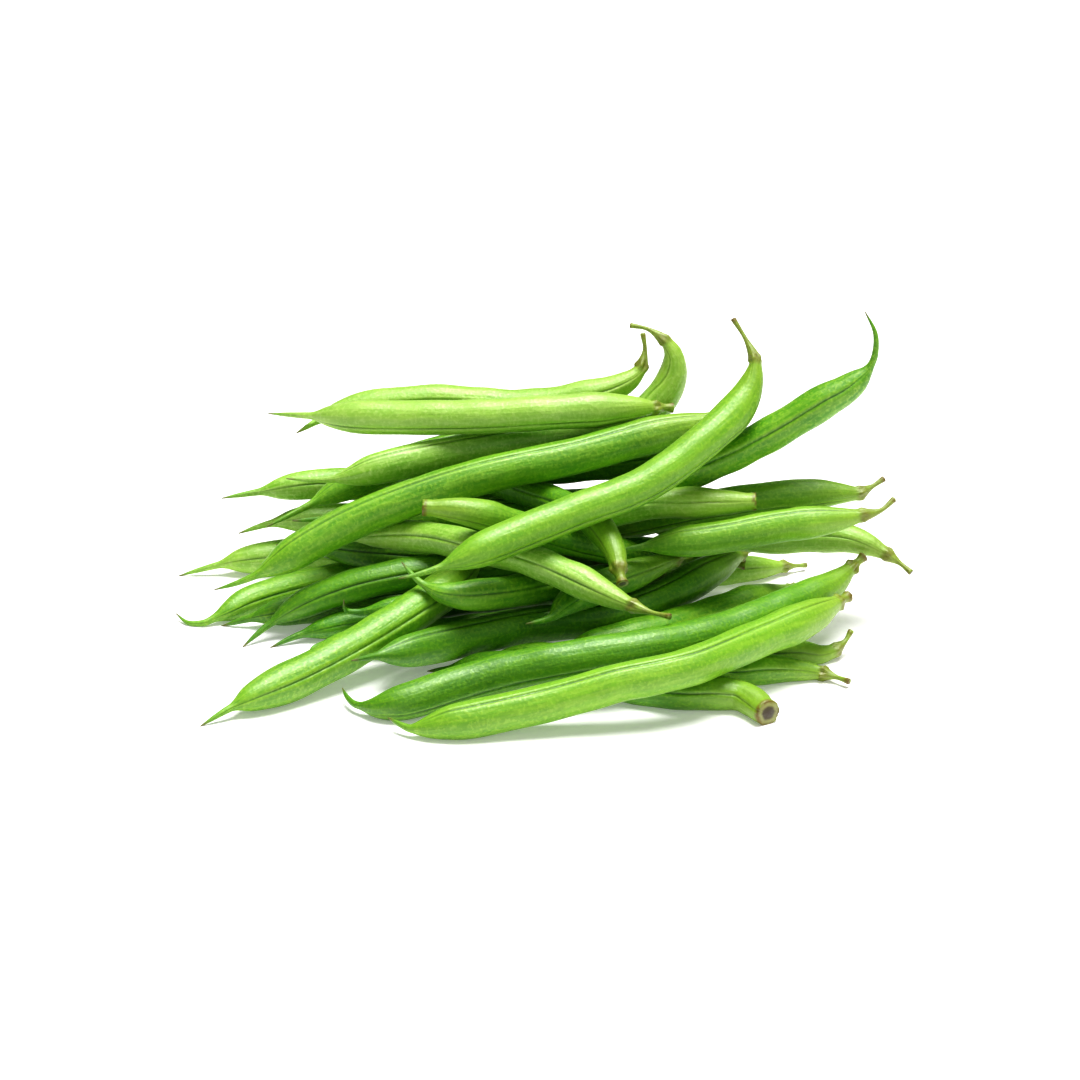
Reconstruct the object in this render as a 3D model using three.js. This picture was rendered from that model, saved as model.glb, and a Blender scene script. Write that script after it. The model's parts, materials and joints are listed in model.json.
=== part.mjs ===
import * as THREE from "three";

// A loose pile of fresh green beans. Every bean is one closed body, since its beak, pod, neck, calyx and
// stalk grew as one. Each starts where it is seen to lie, and then the whole pile settles: beans that meet
// push each other aside, and all of them sink towards the floor. Millimetres, +Z up.

// A bean's own dimensions.
const BEAK_TIP_RADIUS = 0.35;
const BEAK_ROOT_RADIUS = 1.2;
const SHOULDER_LENGTH = 13;
const NECK_LENGTH = 14;
const CALYX_SWELL = 1.2;
const CALYX_LENGTH = 2.4;
const STALK_SHARE = 0.55;
const CUT_SHARE = 0.75;
const STALK_WAIST = 0.5;
const SEEDS = 5;
const SEED_SWELL = 0.12;
const SEAM_DEPTH = 0.07;

// How finely a bean is made: corners round it, and where rings stand along its beak, shoulder and neck.
const SIDES = 8;
const BEAK_RINGS = [0.4, 0.75, 1];
const SHOULDER_RINGS = [0.3, 0.65];
const NECK_RINGS = [0.4, 0.75];

// The gap left between two beans, and how much of its underside a bean loses where it lies on the floor.
const CLEARANCE = 0.8;
const FLAT_DEPTH = 0.35;

// How the pile settles. A bean is a chain of balls, BALL_SPACING apart. Two beans are compared when their
// boxes come within REACH. Each round every ball creeps back by the share HOLD, and bends measured over
// BOW_SPANS balls spring back by the share BEND_STIFFNESS. A ball that starts within FLOOR_BAND of the floor
// stays on it. The settled spine takes a point from every third ball.
const BALL_SPACING = 2.4;
const REACH = 11;
const HOLD = 0.01;
const BOW_SPANS = [1, 3, 8];
const BEND_STIFFNESS = 0.6;
const SETTLING_ROUNDS = 320;
const SINKING_ROUNDS = 80;
const SINK_STEP = 0.05;
const FLOOR_BAND = 0.6;
const KEEP_EVERY = 3;

const FINISHES = {
  green_pod: { color: 0x6fae2a, roughness: 0.42, metalness: 0 },
  pale_green_pod: { color: 0x93c653, roughness: 0.45, metalness: 0 },
  deep_green_pod: { color: 0x4e8f1c, roughness: 0.4, metalness: 0 },
};

// The beans in the order they lie, lowest first. spine runs from the tip of the beak to the end of the
// stalk as [across, away, up]. thick is the pod's diameter, neck the radius below its calyx, beak and stalk
// the lengths of those ends, and seam the angle of its front suture, in degrees from the crown. A bean with
// no stalk was cut through its neck.
const BEANS = [
  {
    name: "bean_back_left_floor",
    thick: 8.6, beak: 11, neck: 1.7, stalk: 3, seam: 67.5, finish: "pale_green_pod",
    spine: [[-89, 41, 1], [-74, 42, 4], [-57, 45, 4], [-30, 46, 4], [-6, 44, 4]],
  },
  {
    name: "bean_curled_tail",
    thick: 8.0, beak: 12, neck: 1.7, stalk: 3, seam: 67.5, finish: "green_pod",
    spine: [[-87, 13, 2], [-84, 9, 1], [-79, 9, 2], [-66, 19, 4], [-50, 29, 4], [-33, 33, 4], [-12, 33, 4]],
  },
  {
    name: "bean_under_long",
    thick: 8.2, beak: 8, neck: 1.7, stalk: 3, seam: 67.5, finish: "deep_green_pod",
    spine: [[-76, 10, 1], [-64, 9, 4], [-45, 16, 4], [-28, 21, 4], [-8, 23, 4], [14, 24, 4]],
  },
  {
    name: "bean_dark_tail",
    thick: 7.4, beak: 9, neck: 1.7, stalk: 2, seam: 67.5, finish: "deep_green_pod",
    spine: [[-64, -2, 1], [-56, 1, 3], [-46, 3, 4], [-30, 8, 4], [-10, 12, 4], [16, 14, 4]],
  },
  {
    name: "bean_looped_tail",
    thick: 7.4, beak: 11, neck: 1.7, stalk: 2, seam: 67.5, finish: "green_pod",
    spine: [
      [-50, -8, 3], [-54, -8, 2], [-55, -4, 2], [-51, -3, 3],
      [-42, -5, 4], [-26, -2, 4], [-6, 2, 4], [18, 5, 4],
    ],
  },
  {
    name: "bean_back_right_floor",
    thick: 7.4, beak: 7, neck: 1.5, stalk: 5, seam: 67.5, finish: "pale_green_pod",
    spine: [[-14, 34, 1], [-2, 32, 4], [20, 33, 4], [46, 36, 4], [66, 44, 2]],
  },
  {
    name: "bean_right_floor",
    thick: 8.2, beak: 6, neck: 1.7, stalk: 3, seam: 67.5, finish: "green_pod",
    spine: [[-4, -17, 1], [6, -13, 4], [24, -2, 4], [38, 9, 4], [52, 20, 4], [63, 31, 3]],
  },
  {
    name: "bean_front_right_stem",
    thick: 7.8, beak: 6, neck: 3.1, stalk: 0, seam: 67.5, finish: "deep_green_pod",
    spine: [
      [-26, -12, 1], [-12, -17, 4], [4, -24, 4], [20, -32, 4],
      [34, -37, 4], [45, -38, 4], [51, -47, 3],
    ],
  },
  {
    name: "bean_low_right_stem",
    thick: 7.2, beak: 7, neck: 1.7, stalk: 6, seam: 67.5, finish: "green_pod",
    spine: [[-18, -9, 1], [-4, -13, 4], [20, -20, 4], [45, -24, 4], [58, -22, 3], [67, -23, 2], [71, -27, 2]],
  },
  {
    name: "bean_low_right_hook",
    thick: 7.0, beak: 6, neck: 1.7, stalk: 5, seam: 67.5, finish: "green_pod",
    spine: [
      [18, -14, 1], [28, -14, 4], [40, -15, 4], [52, -14, 4],
      [62, -12, 3], [70, -10, 3], [73, -6, 6],
    ],
  },
  {
    name: "bean_front_left",
    thick: 9.4, beak: 9, neck: 1.7, stalk: 3, seam: 67.5, finish: "green_pod",
    spine: [
      [-75, -49, 1], [-67, -44, 4], [-57, -36, 5], [-46, -27, 7],
      [-34, -16, 10], [-22, -4, 14], [-12, 12, 18],
    ],
  },
  {
    name: "bean_front_middle",
    thick: 8.6, beak: 8, neck: 1.7, stalk: 3, seam: 22.5, finish: "deep_green_pod",
    spine: [[-45, -31, 9], [-38, -25, 8], [-26, -17, 7], [-6, -7, 8], [20, 3, 9], [38, 16, 14], [52, 30, 18]],
  },
  {
    name: "bean_long_right",
    thick: 8.8, beak: 10, neck: 1.7, stalk: 3, seam: 112.5, finish: "deep_green_pod",
    spine: [
      [-45, -33, 4], [-41, -41, 3], [-34, -43, 4], [-12, -37, 8], [8, -36, 12],
      [26, -31, 13], [42, -21, 13], [56, -9, 14], [68, 3, 15], [77, 12, 20],
    ],
  },
  {
    name: "bean_frontmost",
    thick: 8.8, beak: 7, neck: 1.9, stalk: 3, seam: 22.5, finish: "green_pod",
    spine: [
      [-34, -49, 4], [-29, -53, 3], [-20, -53, 4], [4, -49, 7], [18, -47, 10],
      [32, -43, 11], [48, -29, 11], [61, -17, 11], [68, -9, 11], [72, -4, 11],
    ],
  },
  {
    name: "bean_under_mid_left",
    thick: 7.8, beak: 10, neck: 1.7, stalk: 3, seam: 67.5, finish: "deep_green_pod",
    spine: [[-70, -2, 2], [-62, 3, 7], [-50, 5, 12], [-34, 5, 16], [-14, 8, 17], [12, 14, 17]],
  },
  {
    name: "bean_hooked_middle",
    thick: 7.4, beak: 9, neck: 1.7, stalk: 3, seam: 67.5, finish: "deep_green_pod",
    spine: [[-46, -2, 11], [-48, 0, 8], [-44, 0, 8], [-34, 1, 9], [-16, 6, 11], [8, 15, 12], [28, 22, 12]],
  },
  {
    name: "bean_dark_inner_left",
    thick: 7.6, beak: 9, neck: 1.7, stalk: 3, seam: 67.5, finish: "deep_green_pod",
    spine: [[-64, 37, 11], [-56, 34, 12], [-46, 30, 12], [-28, 25, 12], [-6, 22, 12], [18, 20, 12]],
  },
  {
    name: "bean_back_left_second",
    thick: 7.8, beak: 9, neck: 1.7, stalk: 3, seam: 67.5, finish: "pale_green_pod",
    spine: [[-74, 45, 8], [-64, 46, 11], [-48, 46, 12], [-28, 44, 12], [-4, 40, 12]],
  },
  {
    name: "bean_front_tucked",
    thick: 7.6, beak: 9, neck: 1.7, stalk: 3, seam: 67.5, finish: "green_pod",
    spine: [
      [-33, -5, 17], [-29, -9, 15], [-23, -12, 14], [-12, -10, 15],
      [2, 0, 16], [16, 10, 16], [34, 20, 16],
    ],
  },
  {
    name: "bean_small_hook",
    thick: 7.6, beak: 7, neck: 1.7, stalk: 3, seam: 67.5, finish: "green_pod",
    spine: [[-3, -16, 10], [1, -15, 10], [4, -10, 13], [13, 0, 16], [23, 8, 19], [34, 16, 22]],
  },
  {
    name: "bean_dark_inner_right",
    thick: 7.6, beak: 6, neck: 1.7, stalk: 3, seam: 67.5, finish: "deep_green_pod",
    spine: [[-22, 26, 18], [-6, 28, 18], [14, 30, 19], [34, 31, 20], [50, 30, 20]],
  },
  {
    name: "bean_back_left_third",
    thick: 7.8, beak: 10, neck: 1.7, stalk: 3, seam: 67.5, finish: "pale_green_pod",
    spine: [[-78, 44, 16], [-68, 45, 18], [-54, 47, 20], [-34, 48, 20], [-8, 45, 20], [12, 42, 20]],
  },
  {
    name: "bean_right_middle",
    thick: 7.8, beak: 7, neck: 1.7, stalk: 8, seam: 22.5, finish: "green_pod",
    spine: [[18, 3, 27], [30, 5, 28], [42, 6, 29], [56, 8, 31], [70, 10, 32], [80, 12, 33], [84, 15, 35]],
  },
  {
    name: "bean_right_drooping",
    thick: 7.6, beak: 7, neck: 1.7, stalk: 6, seam: 67.5, finish: "pale_green_pod",
    spine: [
      [18, 36, 22], [30, 30, 23], [42, 24, 24], [56, 20, 25],
      [72, 17, 27], [82, 13, 25], [88, 9, 22],
    ],
  },
  {
    name: "bean_second_left",
    thick: 7.6, beak: 9, neck: 1.7, stalk: 3, seam: 67.5, finish: "green_pod",
    spine: [[-60, 30, 19], [-50, 32, 20], [-34, 33, 20], [-12, 36, 20], [10, 40, 20], [24, 42, 20]],
  },
  {
    name: "bean_front_crossing_low",
    thick: 7.6, beak: 6, neck: 1.7, stalk: 9, seam: 67.5, finish: "pale_green_pod",
    spine: [
      [-50, 17, 18], [-36, 15, 20], [-24, 8, 22], [-14, 0, 23],
      [-3, -6, 23], [10, -13, 20], [22, -21, 17], [31, -27, 16],
    ],
  },
  {
    name: "bean_right_upper",
    thick: 7.8, beak: 7, neck: 1.7, stalk: 6, seam: 112.5, finish: "green_pod",
    spine: [
      [6, 28, 26], [20, 26, 28], [36, 24, 29], [52, 22, 29],
      [68, 22, 27], [78, 23, 25], [83, 26, 26],
    ],
  },
  {
    name: "bean_thin_stem_right",
    thick: 7.2, beak: 6, neck: 1.7, stalk: 3, seam: 67.5, finish: "green_pod",
    spine: [[-20, 38, 27], [-4, 38, 28], [24, 37, 30], [48, 35, 31], [62, 33, 31], [70, 32, 31]],
  },
  {
    name: "bean_steep_stem",
    thick: 7.0, beak: 7, neck: 2.1, stalk: 3, seam: 67.5, finish: "deep_green_pod",
    spine: [
      [-34, 46, 28], [-20, 38, 30], [-6, 24, 29], [5, 11, 27],
      [12, 0, 25], [16, -10, 20], [17, -17, 15],
    ],
  },
  {
    name: "bean_cut_stem_right",
    thick: 7.4, beak: 6, neck: 2.2, stalk: 0, seam: 67.5, finish: "pale_green_pod",
    spine: [
      [-8, 16, 20], [4, 16, 21], [14, 15, 26], [24, 13, 31],
      [34, 12, 33], [43, 12, 34], [51, 12, 35],
    ],
  },
  {
    name: "bean_upper_left",
    thick: 8.2, beak: 7, neck: 1.7, stalk: 3, seam: 22.5, finish: "green_pod",
    spine: [
      [-50, 21, 27], [-38, 25, 28], [-20, 28, 29], [0, 29, 29],
      [16, 32, 30], [28, 37, 31], [36, 41, 33],
    ],
  },
  {
    name: "bean_right_prop",
    thick: 7.6, beak: 6, neck: 1.7, stalk: 4, seam: 67.5, finish: "green_pod",
    spine: [[-26, 44, 28], [-10, 42, 30], [12, 38, 34], [34, 33, 39], [48, 30, 43], [56, 29, 45]],
  },
  {
    name: "bean_rising_right",
    thick: 8.4, beak: 14, neck: 2.0, stalk: 3, seam: 112.5, finish: "green_pod",
    spine: [
      [76, 26, 79], [79, 24, 70], [75, 23, 62], [67, 22, 56],
      [52, 21, 45], [39, 21, 37], [26, 22, 30], [12, 23, 24],
    ],
  },
  {
    name: "bean_long_upper_left",
    thick: 8.0, beak: 13, neck: 1.7, stalk: 3, seam: 22.5, finish: "green_pod",
    spine: [
      [-65, 19, 24], [-56, 23, 27], [-44, 28, 31], [-28, 33, 35],
      [-8, 38, 38], [14, 41, 40], [36, 43, 40],
    ],
  },
  {
    name: "bean_foreshortened",
    thick: 8.2, beak: 12, neck: 1.5, stalk: 8, seam: 22.5, finish: "pale_green_pod",
    spine: [
      [-61, 26, 34], [-50, 26, 34], [-40, 28, 36], [-22, 34, 38], [2, 39, 40],
      [22, 41, 43], [31, 43, 51], [32, 44, 60], [28, 45, 64], [22, 47, 65],
    ],
  },
  {
    name: "bean_top_back",
    thick: 7.8, beak: 7, neck: 1.6, stalk: 7, seam: 67.5, finish: "pale_green_pod",
    spine: [
      [-59, 38, 42], [-49, 43, 44], [-26, 43, 44], [-4, 40, 41],
      [12, 39, 42], [23, 40, 45], [26, 43, 50], [25, 45, 54],
    ],
  },
  {
    name: "bean_top_left",
    thick: 8.4, beak: 13, neck: 1.7, stalk: 3, seam: 112.5, finish: "pale_green_pod",
    spine: [
      [-66, 44, 46], [-54, 38, 46], [-34, 33, 45], [-14, 30, 44],
      [6, 30, 43], [22, 33, 41], [32, 36, 39],
    ],
  },
  {
    name: "bean_long_crossing",
    thick: 8.8, beak: 11, neck: 2.6, stalk: 0, seam: 22.5, finish: "green_pod",
    spine: [
      [-76, 4, 5], [-67, 5, 8], [-48, 11, 18], [-30, 14, 26],
      [-10, 17, 33], [8, 22, 37], [26, 28, 42], [42, 32, 46],
    ],
  },
  {
    name: "bean_bent_stem_left",
    thick: 7.2, beak: 6, neck: 2.0, stalk: 0, seam: 67.5, finish: "green_pod",
    spine: [
      [34, 14, 22], [20, 10, 22], [6, 6, 22], [-8, 0, 23],
      [-15, -3, 24], [-22, -4, 23], [-29, -4, 21],
    ],
  },
  {
    name: "bean_front_crossing",
    thick: 8.6, beak: 11, neck: 1.5, stalk: 10, seam: 112.5, finish: "green_pod",
    spine: [
      [-32, -22, 22], [-24, -19, 23], [-10, -13, 27], [6, -5, 31], [24, 3, 36],
      [38, 12, 44], [48, 21, 52], [51, 25, 61], [46, 31, 70],
    ],
  },
];

// Where a pod's shoulder, neck and calyx begin and end, on a spine of the given length.
function partsOf(bean, length) {
  const podEnd = length - bean.stalk - CALYX_LENGTH;
  const stub = bean.stalk + CALYX_LENGTH / 2;
  return { shoulder: bean.beak + SHOULDER_LENGTH, neck: podEnd - NECK_LENGTH, podEnd, stub };
}

// Rises from 0 to 1, steeply at first, as a blunt end does.
function bluntRise(part) {
  return Math.sin((Math.PI / 2) * THREE.MathUtils.clamp(part, 0, 1));
}

// Radius of a bean at a distance s from the tip of its beak.
function radiusAt(bean, s, length) {
  const { shoulder, neck, podEnd, stub } = partsOf(bean, length);
  if (s < bean.beak) {
    return THREE.MathUtils.lerp(BEAK_TIP_RADIUS, BEAK_ROOT_RADIUS, s / bean.beak);
  }
  if (s > length - stub && bean.stalk > 0) {
    const along = 1 - (length - s) / stub;
    const slim = THREE.MathUtils.smoothstep(along, 0, STALK_WAIST);
    const flare = THREE.MathUtils.smoothstep(along, STALK_WAIST, 1);
    const share = CALYX_SWELL - (CALYX_SWELL - STALK_SHARE) * slim + (CUT_SHARE - STALK_SHARE) * flare;
    return bean.neck * share;
  }
  const swell = bluntRise((s - bean.beak) / SHOULDER_LENGTH);
  const fade = bluntRise((podEnd - s) / NECK_LENGTH);
  const seeds = SEED_SWELL * Math.cos((2 * Math.PI * SEEDS * (s - shoulder)) / (neck - shoulder));
  const body = THREE.MathUtils.lerp(BEAK_ROOT_RADIUS, bean.thick / 2, swell);
  return THREE.MathUtils.lerp(bean.neck, body + seeds * swell * fade, fade);
}

// Where the rings stand along the spine: two to each seed on the pod, closer at the beak, neck and stalk.
function ringStations(bean, length) {
  const { shoulder, neck, podEnd, stub } = partsOf(bean, length);
  const beak = BEAK_RINGS.map((part) => bean.beak * part);
  const rise = SHOULDER_RINGS.map((part) => bean.beak + SHOULDER_LENGTH * part);
  const fall = NECK_RINGS.map((part) => neck + NECK_LENGTH * part);
  const body = [];
  for (let i = 0; i <= 2 * SEEDS; i += 1) {
    body.push(THREE.MathUtils.lerp(shoulder, neck, i / (2 * SEEDS)));
  }
  return [...beak, ...rise, ...body, ...fall, podEnd, length - stub, length - stub * STALK_WAIST, length];
}

// A smooth curve through the points of a spine.
function spineCurve(spine) {
  const points = spine.map((point) => new THREE.Vector3(...point));
  return new THREE.CatmullRomCurve3(points, false, "centripetal");
}

// A bean as a chain of balls along its spine, each with the bean's radius there.
function chainOf(bean) {
  const curve = spineCurve(bean.spine);
  const length = curve.getLength();
  const count = Math.ceil(length / BALL_SPACING);
  const balls = [];
  for (let i = 0; i <= count; i += 1) {
    const place = curve.getPointAt(i / count);
    const radius = radiusAt(bean, (i / count) * length, length);
    balls.push({ place, start: place.clone(), radius, floored: place.z < radius + FLOOR_BAND });
  }
  const bows = BOW_SPANS.map((span) => balls.map((ball, i) => bowAt(balls, i, span)));
  return { bean, balls, bows, link: length / count };
}

// How far a ball stands off the middle of the balls a span before and after it.
function bowAt(balls, i, span) {
  const before = balls[i - span];
  const after = balls[i + span];
  if (!before || !after) {
    return null;
  }
  return new THREE.Vector3().addVectors(before.place, after.place).multiplyScalar(-0.5).add(balls[i].place);
}

// Two beans that press into each other give way, each by half.
function partPair(one, other) {
  const push = new THREE.Vector3();
  for (const a of one.balls) {
    for (const b of other.balls) {
      const reach = a.radius + b.radius + CLEARANCE;
      push.subVectors(a.place, b.place);
      if (Math.abs(push.z) < reach && push.lengthSq() < reach * reach) {
        const distance = push.length();
        push.multiplyScalar((reach - distance) / (2 * distance));
        a.place.add(push);
        b.place.sub(push);
      }
    }
  }
}

// A bean keeps its length and its own bend, yielding a little where it is pressed.
function keepForm(chain) {
  const { balls, bows, link } = chain;
  const shift = new THREE.Vector3();
  BOW_SPANS.forEach((span, row) => {
    for (let i = span; i < balls.length - span; i += 1) {
      shift.subVectors(bows[row][i], bowAt(balls, i, span)).multiplyScalar(BEND_STIFFNESS);
      balls[i].place.addScaledVector(shift, 0.5);
      balls[i - span].place.addScaledVector(shift, -0.25);
      balls[i + span].place.addScaledVector(shift, -0.25);
    }
  });
  for (let i = 1; i < balls.length; i += 1) {
    shift.subVectors(balls[i].place, balls[i - 1].place);
    shift.multiplyScalar((link - shift.length()) / (2 * shift.length()));
    balls[i].place.add(shift);
    balls[i - 1].place.sub(shift);
  }
}

// The whole pile sinks under its weight until each bean lies on the floor or on its neighbours.
function settle(chains) {
  for (let round = 0; round < SETTLING_ROUNDS; round += 1) {
    const sink = round < SINKING_ROUNDS ? SINK_STEP : 0;
    for (const { balls } of chains) {
      for (const ball of balls) {
        ball.place.x += (ball.start.x - ball.place.x) * HOLD;
        ball.place.y += (ball.start.y - ball.place.y) * HOLD;
        ball.place.z -= sink;
      }
    }
    const boxes = chains.map(({ balls }) => new THREE.Box3().setFromPoints(balls.map((ball) => ball.place)));
    chains.forEach((one, i) => {
      for (let j = 0; j < i; j += 1) {
        if (boxes[i].clone().expandByScalar(REACH).intersectsBox(boxes[j])) {
          partPair(one, chains[j]);
        }
      }
    });
    for (const chain of chains) {
      keepForm(chain);
      for (const ball of chain.balls) {
        ball.place.z = ball.floored ? ball.radius : Math.max(ball.place.z, ball.radius);
      }
    }
  }
}

// One closed skin round the spine: a pole at the beak, a ring at each station and a flat cut end.
function beanGeometry(bean, curve) {
  const length = curve.getLength();
  const stations = ringStations(bean, length);
  const up = new THREE.Vector3(0, 0, 1);
  const positions = [];
  const faces = [];
  positions.push(...curve.getPointAt(0));
  for (const station of stations) {
    const centre = curve.getPointAt(Math.min(station / length, 1));
    const ahead = curve.getTangentAt(Math.min(station / length, 1));
    const side = new THREE.Vector3().crossVectors(ahead, up).normalize();
    const crown = new THREE.Vector3().crossVectors(side, ahead);
    const radius = radiusAt(bean, station, length);
    const onPod = station > bean.beak && station < partsOf(bean, length).podEnd;
    for (let i = 0; i < SIDES; i += 1) {
      const angle = THREE.MathUtils.degToRad(bean.seam) + (2 * Math.PI * i) / SIDES;
      const seam = onPod && i % (SIDES / 2) === 0 ? 1 - SEAM_DEPTH : 1;
      const corner = centre
        .clone()
        .addScaledVector(crown, radius * seam * Math.cos(angle))
        .addScaledVector(side, radius * seam * Math.sin(angle));
      positions.push(corner.x, corner.y, Math.max(corner.z, FLAT_DEPTH));
    }
  }
  const endCentre = positions.length / 3;
  positions.push(...curve.getPointAt(1));
  const corner = (ring, i) => 1 + ring * SIDES + (i % SIDES);
  const last = stations.length - 1;
  for (let i = 0; i < SIDES; i += 1) {
    faces.push(0, corner(0, i + 1), corner(0, i));
    faces.push(endCentre, corner(last, i), corner(last, i + 1));
    for (let ring = 0; ring < last; ring += 1) {
      faces.push(corner(ring, i), corner(ring, i + 1), corner(ring + 1, i + 1));
      faces.push(corner(ring, i), corner(ring + 1, i + 1), corner(ring + 1, i));
    }
  }
  const geometry = new THREE.BufferGeometry();
  geometry.setAttribute("position", new THREE.Float32BufferAttribute(positions, 3));
  geometry.setIndex(faces);
  geometry.computeVertexNormals();
  return geometry;
}

const chains = BEANS.map(chainOf);
settle(chains);

const pile = new THREE.Group();
for (const { bean, balls } of chains) {
  const kept = balls.filter((ball, i) => i % KEEP_EVERY === 0 || i === balls.length - 1);
  const curve = spineCurve(kept.map((ball) => ball.place));
  const skin = new THREE.MeshStandardMaterial(FINISHES[bean.finish]);
  const mesh = new THREE.Mesh(beanGeometry(bean, curve), skin);
  mesh.name = bean.name;
  pile.add(mesh);
}

// The origin is the middle of the pile's box, on the floor.
const box = new THREE.Box3().setFromObject(pile);
const middle = box.getCenter(new THREE.Vector3());
for (const mesh of pile.children) {
  mesh.geometry.translate(-middle.x, -middle.y, -box.min.z);
}

export default pile;
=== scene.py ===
import json
import math
import random

import bmesh
import bpy
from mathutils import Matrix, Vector


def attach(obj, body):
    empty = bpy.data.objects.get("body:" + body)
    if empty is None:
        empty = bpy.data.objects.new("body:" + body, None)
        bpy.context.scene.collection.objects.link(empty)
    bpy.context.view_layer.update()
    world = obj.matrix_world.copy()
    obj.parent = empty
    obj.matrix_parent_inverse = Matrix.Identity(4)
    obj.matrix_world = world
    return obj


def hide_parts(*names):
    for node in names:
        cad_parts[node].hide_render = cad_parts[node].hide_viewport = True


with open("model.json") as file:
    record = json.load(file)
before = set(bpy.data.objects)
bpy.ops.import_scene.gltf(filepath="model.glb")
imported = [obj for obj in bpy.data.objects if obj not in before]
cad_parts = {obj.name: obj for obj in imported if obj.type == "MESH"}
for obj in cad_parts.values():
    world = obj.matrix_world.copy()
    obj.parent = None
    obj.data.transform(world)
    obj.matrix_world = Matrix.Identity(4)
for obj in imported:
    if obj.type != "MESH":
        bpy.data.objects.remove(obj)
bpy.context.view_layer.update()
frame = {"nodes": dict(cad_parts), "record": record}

# The beans. Each is one fresh pod of juicy green flesh, grown in one piece from its thin curved beak to its neck,
# with a suture along its front and back, seeds that show as soft swellings, and a small calyx with the stub of
# the stalk, snapped or cut when it was picked.

MM = 0.001
WELD = 0.002 * MM
CAD_SIDES = 8
FIRST_POD_RING = 6
RINGS_AFTER_POD = 7
BEAK_POINT = 0.12 * MM
BEAK_SLIMMING = {1: 0.8, 2: 0.8, 3: 0.88}
STALK_SLIMMING = {-2: 0.62, -1: 0.58}
LONG_STALK = 5 * MM
SHORTEST_STALK = 2 * MM


def rings_of(node):
    """The rings of corners of a bean's solid, from its beak to its stalk."""
    solid = bmesh.new()
    solid.from_mesh(frame["nodes"][node].data)
    bmesh.ops.remove_doubles(solid, verts=solid.verts, dist=WELD)
    solid.verts.index_update()
    poles = [v for v in solid.verts if len(v.link_edges) == CAD_SIDES]

    def depth(pole):
        around = [e.other_vert(pole).co for e in pole.link_edges]
        return (pole.co - sum(around, Vector()) / len(around)).length

    front = [max(poles, key=depth)]
    seen = set(front)
    rings = []
    while front:
        rings.append([v.co.copy() for v in front])
        beyond = {e.other_vert(v) for v in front for e in v.link_edges} - seen
        seen |= beyond
        front = sorted(beyond, key=lambda v: v.index)
    solid.free()
    return rings[:-1]


def smooth_at(stations, values, s):
    """The value at a distance s along the bean, on a smooth curve through the rings' values."""
    last = len(stations) - 1
    i = max(k for k in range(last) if stations[k] <= s or k == 0)
    span = stations[i + 1] - stations[i]
    part = min(max((s - stations[i]) / span, 0.0), 1.0)

    def slope(k):
        before = max(k - 1, 0)
        after = min(k + 1, last)
        return (values[after] - values[before]) / (stations[after] - stations[before])

    start = (1 + 2 * part) * (1 - part) ** 2
    rise = part * (1 - part) ** 2 * span
    end = part * part * (3 - 2 * part)
    fall = part * part * (part - 1) * span
    return values[i] * start + slope(i) * rise + values[i + 1] * end + slope(i + 1) * fall


def spine_of(node):
    """Distances from the beak, centres, radii and suture directions of a bean at its rings."""
    rings = rings_of(node)
    centres = [sum(ring, Vector()) / len(ring) for ring in rings]
    radii = [BEAK_POINT]
    for ring, centre in zip(rings[1:], centres[1:]):
        reach = sorted((corner - centre).length for corner in ring)
        radii.append(sum(reach[-3:]) / 3)
    stations = [0.0]
    for before, after in zip(centres, centres[1:]):
        stations.append(stations[-1] + (after - before).length)
    even = list(radii)
    for k in range(FIRST_POD_RING, len(radii) - RINGS_AFTER_POD):
        even[k] = (radii[k - 1] + 2 * radii[k] + radii[k + 1]) / 4
    slimming = dict(BEAK_SLIMMING)
    if stations[-1] - stations[-3] > LONG_STALK:
        slimming.update(STALK_SLIMMING)
    for k, share in slimming.items():
        even[k] = share * radii[k]
    middle = len(rings) // 2
    sutures = sorted(rings[middle], key=lambda corner: (corner - centres[middle]).length)[:2]
    front = max(sutures, key=lambda corner: corner.z - corner.y)
    toward = {middle: (front - centres[middle]).normalized()}
    for k in list(range(middle + 1, len(rings))) + list(range(middle - 1, 0, -1)):
        near = toward[k - 1] if k > middle else toward[k + 1]
        sides = [(corner - centres[k]).normalized() for corner in rings[k]]
        toward[k] = max(sides, key=near.dot)
    toward[0] = toward[1]
    return stations, centres, even, [toward[k] for k in range(len(rings))]


# Each form's height as a share of the radius, then its distance from the suture and half width in radians.
FRONT_GROOVE = (-0.07, 0.0, 0.06)
FRONT_LIP = (0.022, 0.17, 0.1)
BACK_GROOVE = (-0.03, 0.0, 0.05)
BACK_LIP = (0.01, 0.14, 0.08)


def suture_relief(angle):
    """How far the skin stands in or out, as a share of the radius, at an angle from the front suture."""

    def swell(offset, form):
        height, place, width = form
        return height * math.exp(-(((offset - place) / width) ** 2))

    front = abs(angle)
    back = math.pi - front
    return swell(front, FRONT_GROOVE) + swell(front, FRONT_LIP) + swell(back, BACK_GROOVE) + swell(back, BACK_LIP)


SEGMENTS = 36


def straight_pod(steps):
    """A straight tube of unit radius with a ring at each step, closed at both ends."""
    pod = bmesh.new()
    bmesh.ops.create_circle(pod, cap_ends=True, cap_tris=True, segments=SEGMENTS, radius=1.0)
    rim = [e for e in pod.edges if e.is_boundary]
    for before, after in zip(steps, steps[1:]):
        grown = bmesh.ops.extrude_edge_only(pod, edges=rim)["geom"]
        rim = [part for part in grown if isinstance(part, bmesh.types.BMEdge) and part.is_boundary]
        ring = [part for part in grown if isinstance(part, bmesh.types.BMVert)]
        bmesh.ops.translate(pod, verts=ring, vec=(0, 0, after - before))
    lid = bmesh.ops.edgeloop_fill(pod, edges=rim)["faces"]
    bmesh.ops.poke(pod, faces=lid)
    return pod


POD_STEP = 1.5 * MM
END_STEP = 0.55 * MM
BEAK_END = 16 * MM
STALK_END = 14 * MM


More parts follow.
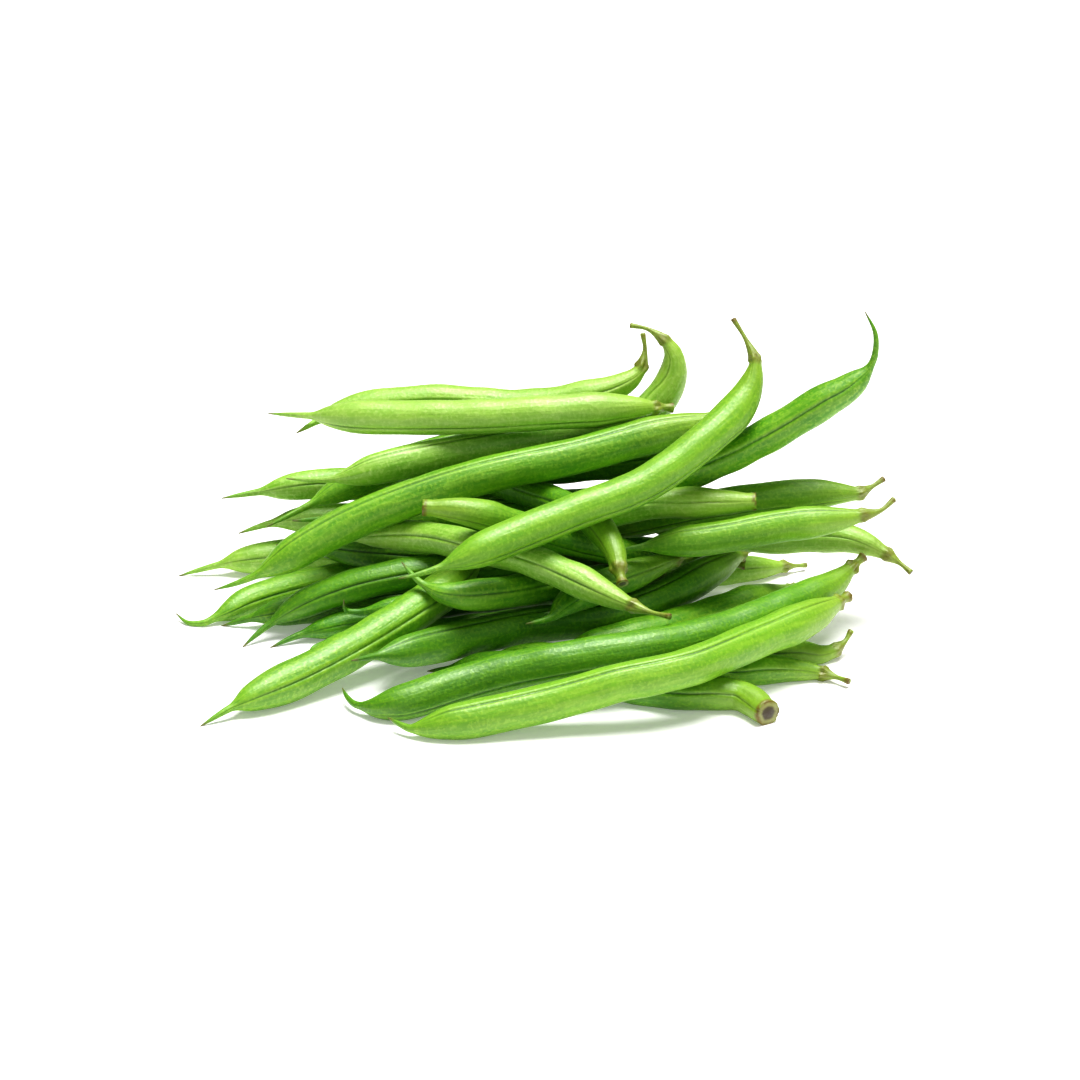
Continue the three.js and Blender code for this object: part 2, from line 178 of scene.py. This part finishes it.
def steps_along(length):
    """Distances of the rings from the beak, close together at the beak and the stalk."""
    steps = [0.0]
    while steps[-1] < length:
        near_end = steps[-1] < BEAK_END or steps[-1] > length - STALK_END
        steps.append(steps[-1] + (END_STEP if near_end else POD_STEP))
    steps[-1] = length
    return steps


TANGENT_STEP = 0.3 * MM
THINNEST = 0.1 * MM
GROOVED_RADIUS = 1.8
GROOVING_RANGE = 1.6
SUTURE_CROWDING = 0.34
SEED_PITCH = 11.5 * MM
SEED_PITCH_RANGE = (0.85, 1.2)
SEED_HEIGHT = 0.11 * MM
SEED_WANDER = 9 * MM
SEPALS = 5
SEPAL_HEIGHT = (0.14, 0.3)
CALYX_HALF_LENGTH = 0.9 * MM
CUT_EDGE = (0.9, 1.02)
HEART = 2.0


def bend_pod(pod, node, seed):
    """Lays a straight pod along its bean's spine, with its thickness, sutures, seeds and calyx."""
    stations, centres, radii, toward = spine_of(node)
    length = stations[-1]
    draw = random.Random(seed)
    phase = draw.uniform(0, 2 * math.pi)
    pitch = SEED_PITCH * draw.uniform(*SEED_PITCH_RANGE)
    tint = draw.uniform(0, 1)
    calyx = stations[-3]
    ragged = draw.uniform(*SEPAL_HEIGHT)
    if length - calyx < SHORTEST_STALK:
        calyx = length + 4 * SHORTEST_STALK
    labels = ("from_beak", "from_calyx", "from_cut", "suture", "tint")
    layers = {label: pod.verts.layers.float.new(label) for label in labels}
    rows = {}
    for corner in pod.verts:
        rows.setdefault(round(corner.co.z, 7), []).append(corner)
    for s, row in rows.items():
        centre = smooth_at(stations, centres, s)
        ahead = smooth_at(stations, centres, min(s + TANGENT_STEP, length))
        behind = smooth_at(stations, centres, max(s - TANGENT_STEP, 0.0))
        tangent = (ahead - behind).normalized()
        front = smooth_at(stations, toward, s)
        front = (front - tangent * front.dot(tangent)).normalized()
        side = tangent.cross(front)
        radius = max(smooth_at(stations, radii, s), THINNEST)
        fleshy = min(max((radius / MM - GROOVED_RADIUS) / GROOVING_RANGE, 0.0), 1.0)
        wander = 0.9 * math.sin(s / SEED_WANDER)
        swell = SEED_HEIGHT * fleshy * math.sin(2 * math.pi * s / pitch + phase + wander)
        lobes = ragged * math.exp(-(((s - calyx) / CALYX_HALF_LENGTH) ** 2))
        for corner in row:
            reach = math.hypot(corner.co.x, corner.co.y)
            turn = math.atan2(corner.co.y, corner.co.x)
            angle = turn - SUTURE_CROWDING * math.sin(2 * turn)
            relief = 1 + fleshy * suture_relief(angle) + lobes * math.cos(SEPALS * angle + phase)
            if s > length - THINNEST:
                relief *= draw.uniform(*CUT_EDGE)
            out = reach * (radius * relief + swell * math.sin(angle) ** 2)
            corner.co = centre + front * (out * math.cos(angle)) + side * (out * math.sin(angle))
            corner.co.z = max(corner.co.z, 0.0)
            corner[layers["from_beak"]] = s / MM
            corner[layers["from_calyx"]] = (s - calyx) / MM
            on_skin = reach > 0.5 or s < length
            corner[layers["from_cut"]] = (length - s) / MM if on_skin else -HEART
            corner[layers["suture"]] = angle
            corner[layers["tint"]] = tint


def grow_bean(node, skin, seed):
    """The finished bean that takes the place of a solid."""
    length = spine_of(node)[0][-1]
    pod = straight_pod(steps_along(length))
    bend_pod(pod, node, seed)
    bmesh.ops.recalc_face_normals(pod, faces=pod.faces)
    for face in pod.faces:
        face.smooth = True
    mesh = bpy.data.meshes.new(node + "_pod")
    pod.to_mesh(mesh)
    pod.free()
    mesh.materials.append(skin)
    piece = bpy.data.objects.new(node + "_pod", mesh)
    bpy.context.collection.objects.link(piece)
    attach(piece, "root")
    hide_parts(node)
    return piece


NECK_GREEN = (0.38, 0.54, 0.06)
SEPAL_OLIVE = (0.30, 0.33, 0.05)
SEPAL_BROWN = (0.16, 0.11, 0.012)
CUT_FLESH = (0.42, 0.46, 0.16)
CUT_BROWN = (0.20, 0.14, 0.012)
HEART_BROWN = (0.05, 0.028, 0.003)
TIP_BROWN = (0.22, 0.15, 0.05)
NECK_REACH = 26.0
# How dark the painted shade in the suture grooves is, as a share of the darkest green.
SUTURE_PAINTED_SHADE = 0.4


def pod_skin(name, deep, fresh, pale):
    """Fresh pod skin: waxy, mottled and streaked along the pod, with painted shade in the suture grooves and
    painted highlights on their lips and in pale specks, brown at the cut.
    """
    skin = bpy.data.materials.new(name)
    skin.use_nodes = True
    nodes = skin.node_tree.nodes
    links = skin.node_tree.links
    shader = nodes["Principled BSDF"]

    def attribute(label):
        node = nodes.new("ShaderNodeAttribute")
        node.attribute_name = label
        return node.outputs["Fac"]

    def ramp(value, stops):
        node = nodes.new("ShaderNodeValToRGB")
        while len(node.color_ramp.elements) < len(stops):
            node.color_ramp.elements.new(0.5)
        for element, (place, shade) in zip(node.color_ramp.elements, stops):
            element.position = place
            element.color = (shade, shade, shade, 1)
        links.new(value, node.inputs["Fac"])
        return node.outputs["Color"]

    def between(value, low, high):
        node = nodes.new("ShaderNodeMapRange")
        node.inputs["From Min"].default_value = low
        node.inputs["From Max"].default_value = high
        links.new(value, node.inputs["Value"])
        return node.outputs["Result"]

    def mix(factor, under, over):
        node = nodes.new("ShaderNodeMix")
        node.data_type = "RGBA"
        for socket, value in ((node.inputs["Factor"], factor), (node.inputs[6], under), (node.inputs[7], over)):
            if isinstance(value, (int, float)):
                socket.default_value = value
            elif isinstance(value, tuple):
                socket.default_value = (*value, 1)
            else:
                links.new(value, socket)
        return node.outputs[2]

    def times(one, other):
        node = nodes.new("ShaderNodeMath")
        node.operation = "MULTIPLY"
        links.new(one, node.inputs[0])
        if isinstance(other, (int, float)):
            node.inputs[1].default_value = other
        else:
            links.new(other, node.inputs[1])
        return node.outputs["Value"]

    def mottle(vector, scale, detail):
        node = nodes.new("ShaderNodeTexNoise")
        node.inputs["Scale"].default_value = scale
        node.inputs["Detail"].default_value = detail
        links.new(vector, node.inputs["Vector"])
        return node.outputs["Fac"]

    place = nodes.new("ShaderNodeTexCoord").outputs["Object"]
    from_beak = attribute("from_beak")
    from_calyx = attribute("from_calyx")
    from_cut = attribute("from_cut")
    suture = attribute("suture")
    tint = attribute("tint")
    along = nodes.new("ShaderNodeCombineXYZ")
    links.new(times(from_beak, 0.035), along.inputs["X"])
    links.new(times(suture, 1.6), along.inputs["Y"])
    links.new(times(tint, 40.0), along.inputs["Z"])
    streaks = mottle(along.outputs["Vector"], 2.6, 5.0)

    # From clouds of colour two centimetres wide down to specks of under a millimetre.
    clouds = mottle(place, 55.0, 3.0)
    patches = mottle(place, 260.0, 2.0)
    speckle_and_glints = mottle(place, 1300.0, 1.0)
    glint_grain = mottle(place, 900.0, 4.0)

    colour = mix(between(clouds, 0.35, 0.65), deep, fresh)
    colour = mix(times(between(patches, 0.44, 0.6), 0.5), colour, deep)
    colour = mix(times(between(streaks, 0.4, 0.7), 0.4), colour, pale)
    colour = mix(times(between(tint, 0.2, 1.0), 0.3), colour, pale)
    # Pale specks mixed into the colour are painted glints: the sparkle of the light on the skin, painted in. The
    # finest specks also roughen the gloss and bump the skin.
    colour = mix(times(between(glint_grain, 0.5, 0.66), 0.3), colour, pale)
    colour = mix(times(between(speckle_and_glints, 0.54, 0.66), 0.4), colour, pale)

    # The sutures: a dark line of painted shade down in the groove, with a pale lip of painted highlight on each
    # side of it.
    across = nodes.new("ShaderNodeMath")
    across.operation = "ABSOLUTE"
    links.new(suture, across.inputs[0])
    offset = across.outputs["Value"]
    half_turn = between(offset, 0.0, math.pi)
    lip_highlight = ramp(
        half_turn,
        [(0.0, 0.0), (0.02, 0.1), (0.045, 1.0), (0.09, 0.0), (0.95, 0.0), (0.97, 0.5), (0.985, 0.1)],
    )
    groove_shade = ramp(half_turn, [(0.0, 1.0), (0.01, 0.8), (0.024, 0.0), (0.985, 0.0), (1.0, 0.6)])
    stretch = nodes.new("ShaderNodeCombineXYZ")
    links.new(times(from_beak, 0.05), stretch.inputs["X"])
    links.new(times(tint, 90.0), stretch.inputs["Y"])
    marked = between(mottle(stretch.outputs["Vector"], 1.0, 2.0), 0.3, 0.62)
    colour = mix(times(lip_highlight, 0.3), colour, pale)
    colour = mix(times(times(groove_shade, marked), 0.8), colour, tuple(SUTURE_PAINTED_SHADE * part for part in deep))

    # The neck turns yellow-green, the calyx and the cut dry to brown, and so does the tip of the beak.
    neck = ramp(between(from_cut, 0.0, NECK_REACH), [(0.0, 1.0), (0.35, 0.75), (1.0, 0.0)])
    colour = mix(times(neck, 0.6), colour, NECK_GREEN)
    blotch = between(mottle(place, 600.0, 3.0), 0.35, 0.55)
    sepals = ramp(
        between(from_calyx, -4.0, 6.0),
        [(0.0, 0.0), (0.26, 0.1), (0.36, 0.8), (0.45, 0.9), (0.6, 0.5), (1.0, 0.6)],
    )
    colour = mix(times(sepals, 0.75), colour, SEPAL_OLIVE)
    colour = mix(times(times(sepals, blotch), 0.5), colour, SEPAL_BROWN)
    flesh = ramp(between(from_cut, -HEART, 0.0), [(0.0, 1.0), (0.9, 1.0), (1.0, 0.0)])
    colour = mix(flesh, colour, CUT_FLESH)
    edge = between(from_cut, -HEART, 6.0)
    dry = ramp(edge, [(0.0, 0.0), (0.2, 0.3), (0.25, 1.0), (0.33, 0.8), (0.42, 0.0)])
    colour = mix(times(dry, blotch), colour, CUT_BROWN)
    heart = ramp(edge, [(0.0, 1.0), (0.12, 0.9), (0.17, 0.0)])
    colour = mix(heart, colour, HEART_BROWN)
    tip = ramp(between(from_beak, 0.0, 9.0), [(0.0, 1.0), (0.2, 0.55), (1.0, 0.0)])
    colour = mix(times(tip, 0.7), colour, deep)
    dry_tip = ramp(between(from_beak, 0.0, 2.5), [(0.0, 1.0), (0.4, 0.8), (1.0, 0.0)])
    colour = mix(times(dry_tip, 0.8), colour, TIP_BROWN)
    links.new(colour, shader.inputs["Base Color"])

    rough = between(speckle_and_glints, 0.35, 0.65)
    softness = nodes.new("ShaderNodeMapRange")
    softness.inputs["To Min"].default_value = 0.55
    softness.inputs["To Max"].default_value = 0.4
    links.new(rough, softness.inputs["Value"])
    links.new(softness.outputs["Result"], shader.inputs["Roughness"])
    shader.inputs["Specular IOR Level"].default_value = 0.6
    shader.inputs["Coat Weight"].default_value = 0.6
    shader.inputs["Coat Roughness"].default_value = 0.45
    shader.inputs["Subsurface Weight"].default_value = 0.1
    shader.inputs["Subsurface Radius"].default_value = (0.6, 1.0, 0.25)
    shader.inputs["Subsurface Scale"].default_value = 1.2 * MM

    skin_bump = nodes.new("ShaderNodeBump")
    skin_bump.inputs["Strength"].default_value = 0.8
    skin_bump.inputs["Distance"].default_value = 0.14 * MM
    links.new(speckle_and_glints, skin_bump.inputs["Height"])
    fibre_bump = nodes.new("ShaderNodeBump")
    fibre_bump.inputs["Strength"].default_value = 0.45
    fibre_bump.inputs["Distance"].default_value = 0.5 * MM
    links.new(streaks, fibre_bump.inputs["Height"])
    links.new(skin_bump.outputs["Normal"], fibre_bump.inputs["Normal"])
    links.new(fibre_bump.outputs["Normal"], shader.inputs["Normal"])
    return skin


# The three greens of the beans, each from the darkest to the palest patches. The pale green pod's greens are
# partly painted light: they are made lighter and whiter to stand in for the glare and haze of the light on the
# beans on top of the pile and at its back.
GREENS = {
    "green_pod": ((0.075, 0.30, 0.001), (0.16, 0.45, 0.002), (0.40, 0.65, 0.06)),
    "pale_green_pod": ((0.18, 0.45, 0.004), (0.34, 0.62, 0.04), (0.56, 0.77, 0.22)),
    "deep_green_pod": ((0.038, 0.20, 0.001), (0.085, 0.32, 0.001), (0.26, 0.52, 0.02)),
}
skins = {slot: pod_skin(slot + "_skin", *greens) for slot, greens in GREENS.items()}
slots = {part["node"]: part["material_slot"] for part in frame["record"]["subparts"]}
for seed, node in enumerate(sorted(frame["nodes"])):
    grow_bean(node, skins[slots[node]], seed)

# The surface under the pile: a plain white sweep, far wider than the pile, with a faint tint against the
# green light that the beans throw on it.

FLOOR_SIDE = 12.0
FLOOR_GLOW = 0.2
FLOOR_WHITE = (0.93, 0.89, 0.93, 1)
floor_mesh = bmesh.new()
bmesh.ops.create_grid(floor_mesh, x_segments=1, y_segments=1, size=FLOOR_SIDE / 2)
floor_data = bpy.data.meshes.new("floor")
floor_mesh.to_mesh(floor_data)
floor_mesh.free()
white = bpy.data.materials.new("white_surface")
white.use_nodes = True
coating = white.node_tree.nodes["Principled BSDF"]
coating.inputs["Base Color"].default_value = FLOOR_WHITE
coating.inputs["Roughness"].default_value = 0.7
coating.inputs["Emission Color"].default_value = (1.0, 1.0, 1.0, 1)
coating.inputs["Emission Strength"].default_value = FLOOR_GLOW
floor_data.materials.append(white)
floor = bpy.data.objects.new("floor", floor_data)
bpy.context.collection.objects.link(floor)

# The light: a dim white studio, with a large soft lamp overhead and a weaker one beside the camera. The
# picture's contrast is raised, as in the photograph.

STUDIO_LIGHT = 0.16
world = bpy.data.worlds.new("studio")
bpy.context.scene.world = world
world.use_nodes = True
world.node_tree.nodes["Background"].inputs["Color"].default_value = (1.0, 1.0, 1.0, 1)
world.node_tree.nodes["Background"].inputs["Strength"].default_value = STUDIO_LIGHT


def soft_lamp(name, toward, strength, spread):
    """A distant round lamp, as wide in degrees as its spread, that shines in one direction."""
    lamp = bpy.data.lights.new(name, "SUN")
    lamp.energy = strength
    lamp.angle = math.radians(spread)
    holder = bpy.data.objects.new(name, lamp)
    holder.rotation_euler = Vector(toward).to_track_quat("-Z", "Y").to_euler()
    bpy.context.collection.objects.link(holder)


soft_lamp("overhead_lamp", (-0.12, -0.12, -1.0), 3.9, 34)
soft_lamp("front_lamp", (-0.3, 0.9, -0.7), 0.3, 50)
bpy.context.scene.view_settings.view_transform = "Standard"
bpy.context.scene.view_settings.look = "High Contrast"
bpy.context.scene.view_settings.exposure = -0.28

# The camera: straight from the front, looking down on the pile at 22 degrees, as in the photograph.
# Its lens shows the middle of the pile at the photograph's scale.

VIEW_HEIGHT = math.radians(22)
VIEW_DISTANCE = 0.9
AIM = Vector((0.0, 0.017, 0.020))
PIXELS_PER_METRE = 4200
HALF_PICTURE = 540
camera_data = bpy.data.cameras.new("camera")
camera_data.sensor_fit = "HORIZONTAL"
camera_data.angle = 2 * math.atan(HALF_PICTURE / (PIXELS_PER_METRE * VIEW_DISTANCE))
camera_data.clip_start = 0.05
camera = bpy.data.objects.new("camera", camera_data)
camera.location = AIM + Vector((0, -math.cos(VIEW_HEIGHT), math.sin(VIEW_HEIGHT))) * VIEW_DISTANCE
camera.rotation_euler = (math.pi / 2 - VIEW_HEIGHT, 0, 0)
bpy.context.collection.objects.link(camera)
bpy.context.scene.camera = camera
